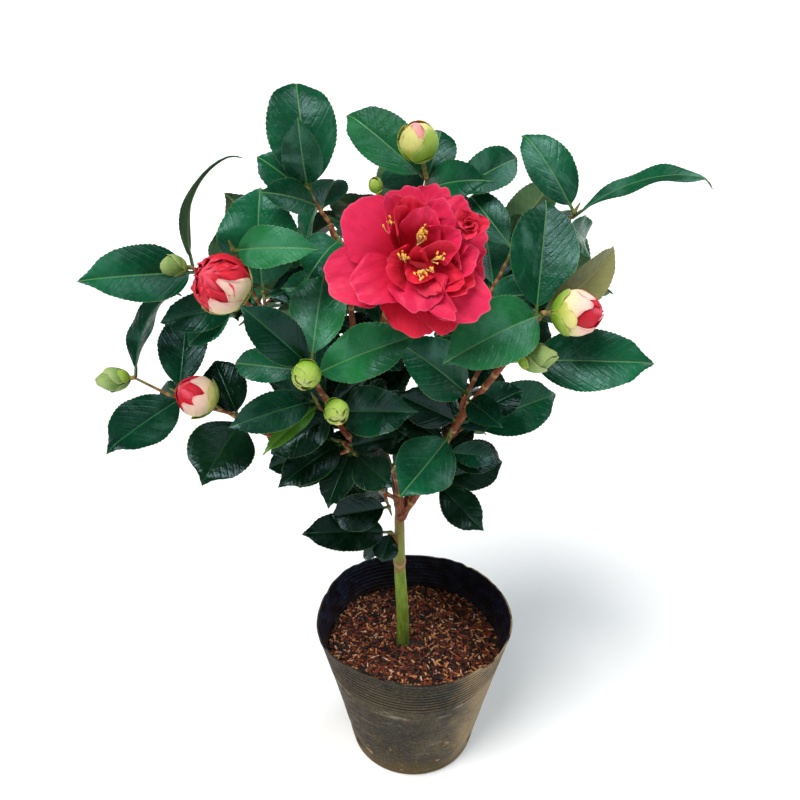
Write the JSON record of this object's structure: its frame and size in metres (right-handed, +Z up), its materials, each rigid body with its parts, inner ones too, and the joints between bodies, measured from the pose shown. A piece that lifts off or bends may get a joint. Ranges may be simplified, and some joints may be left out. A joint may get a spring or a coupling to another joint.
{
  "type": "potted camellia shrub",
  "caption": "Young camellia shrub with glossy toothed leaves, a full double red bloom and swelling buds, standing in a soft black nursery pot.",
  "frame": {"origin": "centre of the pot's flat underside, on the surface that the pot stands on", "axes": "+Z up the trunk, -Y towards the side that the bloom faces, +X to the right of a viewer on that side"},
  "size_m": [0.4866, 0.3224, 0.6432],
  "materials": {
    "pot": "soft black polythene, ribbed under the rim, dusty grey-brown outside and blue-black inside",
    "soil": "damp reddish-brown coir and husk chips over potting soil",
    "trunk": "smooth green young bark with pale nodes",
    "bark": "thin red-brown bark, finely cracked and flaking",
    "leaf": "leathery dark green, glossy above with a bluish sheen, paler and matt below",
    "bloom": "velvety pink-red petals, darker towards the middle, with golden stamens"
  },
  "bodies": {
    "root": {"pot": "pot", "soil": "soil", "trunk": "trunk", "right_bough": "bark", "right_low_spur": "bark", "right_rear_spur": "bark", "right_side_spur": "bark", "top_right_bough": "bark", "left_bough": "bark", "left_low_spur": "bark", "left_side_spur": "bark", "upper_left_bough": "bark", "far_left_bough": "bark", "outer_left_bough": "bark", "leader": "bark", "top_bough": "bark", "bloom_bough": "bark", "middle_right_bough": "bark", "inner_left_bough": "bark", "inner_right_bough": "bark", "trunk_spur": "bark", "fork_spur": "bark", "front_spur": "bark", "back_right_bough": "bark", "back_left_bough": "bark", "back_bough": "bark", "foliage_top_left": "leaf", "foliage_upper_left": "leaf", "foliage_left": "leaf", "foliage_far_left": "leaf", "foliage_centre_left": "leaf", "foliage_lower_left": "leaf", "foliage_low_left": "leaf", "foliage_fork": "leaf", "foliage_trunk": "leaf", "foliage_front": "leaf", "foliage_right": "leaf", "foliage_right_side": "leaf", "foliage_right_low": "leaf", "foliage_right_rear": "leaf", "foliage_top_right": "leaf", "foliage_top": "leaf", "foliage_middle_right": "leaf", "foliage_inner_left": "leaf", "foliage_inner_right": "leaf", "foliage_back_right": "leaf", "foliage_back_left": "leaf", "foliage_back": "leaf", "bloom_on_twig": "bloom"}
  },
  "joints": []
}
